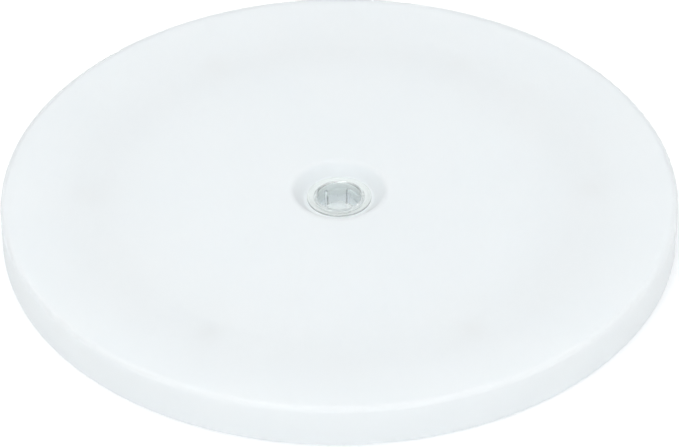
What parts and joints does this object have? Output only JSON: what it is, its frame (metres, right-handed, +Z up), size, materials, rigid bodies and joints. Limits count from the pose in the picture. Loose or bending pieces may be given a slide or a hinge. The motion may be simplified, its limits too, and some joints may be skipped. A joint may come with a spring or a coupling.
{
  "type": "lazy susan turntable",
  "caption": "Low round kitchen turntable: translucent white dished top plate rolling on a roller ring over a footed base plate, joined by a clear snap-in centre hub.",
  "frame": {"origin": "centre of the circle of feet, on the surface that the feet stand on", "axes": "+Z up along the axis that the top plate turns about; +X towards the first roller"},
  "size_m": [0.305, 0.305, 0.021],
  "materials": {
    "plate_polypropylene": "satin injection-moulded translucent white polypropylene",
    "hub_clear": "polished clear injection-moulded styrenic plastic",
    "ring_plastic": "as-moulded pale grey polypropylene",
    "roller_acetal": "as-moulded dark grey acetal",
    "axle_steel": "centreless-ground steel pin",
    "foot_elastomer": "matt moulded pale grey thermoplastic elastomer"
  },
  "bodies": {
    "base": {"base_plate": "plate_polypropylene", "hub": "hub_clear", "foot_1": "foot_elastomer", "foot_2": "foot_elastomer", "foot_3": "foot_elastomer", "foot_4": "foot_elastomer", "foot_5": "foot_elastomer", "foot_6": "foot_elastomer"},
    "turntable": {"top_plate": "plate_polypropylene"},
    "roller_cage": {"roller_ring": "ring_plastic", "roller_axle_1": "axle_steel", "roller_axle_2": "axle_steel", "roller_axle_3": "axle_steel", "roller_axle_4": "axle_steel", "roller_axle_5": "axle_steel", "roller_axle_6": "axle_steel"},
    "roller_1_body": {"roller_1": "roller_acetal"},
    "roller_2_body": {"roller_2": "roller_acetal"},
    "roller_3_body": {"roller_3": "roller_acetal"},
    "roller_4_body": {"roller_4": "roller_acetal"},
    "roller_5_body": {"roller_5": "roller_acetal"},
    "roller_6_body": {"roller_6": "roller_acetal"}
  },
  "joints": [
    {"name": "turntable_spin", "type": "hinge", "parent": "base", "child": "turntable", "pos_m": [0, 0, 0.0175], "axis": [0, 0, 1], "continuous": true},
    {"name": "ring_spin", "type": "hinge", "parent": "base", "child": "roller_cage", "pos_m": [0, 0, 0.0137], "axis": [0, 0, 1], "continuous": true},
    {"name": "roller_1_spin", "type": "hinge", "parent": "roller_cage", "child": "roller_1_body", "pos_m": [0.1135, 0, 0.0137], "axis": [1, 0, 0], "continuous": true},
    {"name": "roller_2_spin", "type": "hinge", "parent": "roller_cage", "child": "roller_2_body", "pos_m": [0.05675, 0.09829, 0.0137], "axis": [0.5, 0.866, 0], "continuous": true},
    {"name": "roller_3_spin", "type": "hinge", "parent": "roller_cage", "child": "roller_3_body", "pos_m": [-0.05675, 0.09829, 0.0137], "axis": [-0.5, 0.866, 0], "continuous": true},
    {"name": "roller_4_spin", "type": "hinge", "parent": "roller_cage", "child": "roller_4_body", "pos_m": [-0.1135, 0, 0.0137], "axis": [-1, 0, 0], "continuous": true},
    {"name": "roller_5_spin", "type": "hinge", "parent": "roller_cage", "child": "roller_5_body", "pos_m": [-0.05675, -0.09829, 0.0137], "axis": [-0.5, -0.866, 0], "continuous": true},
    {"name": "roller_6_spin", "type": "hinge", "parent": "roller_cage", "child": "roller_6_body", "pos_m": [0.05675, -0.09829, 0.0137], "axis": [0.5, -0.866, 0], "continuous": true}
  ],
  "couplings": [
    {"joint": "ring_spin", "follows": "turntable_spin", "ratio": 0.5},
    {"joint": "roller_1_spin", "follows": "turntable_spin", "ratio": -14.012},
    {"joint": "roller_2_spin", "follows": "turntable_spin", "ratio": -14.012},
    {"joint": "roller_3_spin", "follows": "turntable_spin", "ratio": -14.012},
    {"joint": "roller_4_spin", "follows": "turntable_spin", "ratio": -14.012},
    {"joint": "roller_5_spin", "follows": "turntable_spin", "ratio": -14.012},
    {"joint": "roller_6_spin", "follows": "turntable_spin", "ratio": -14.012}
  ]
}
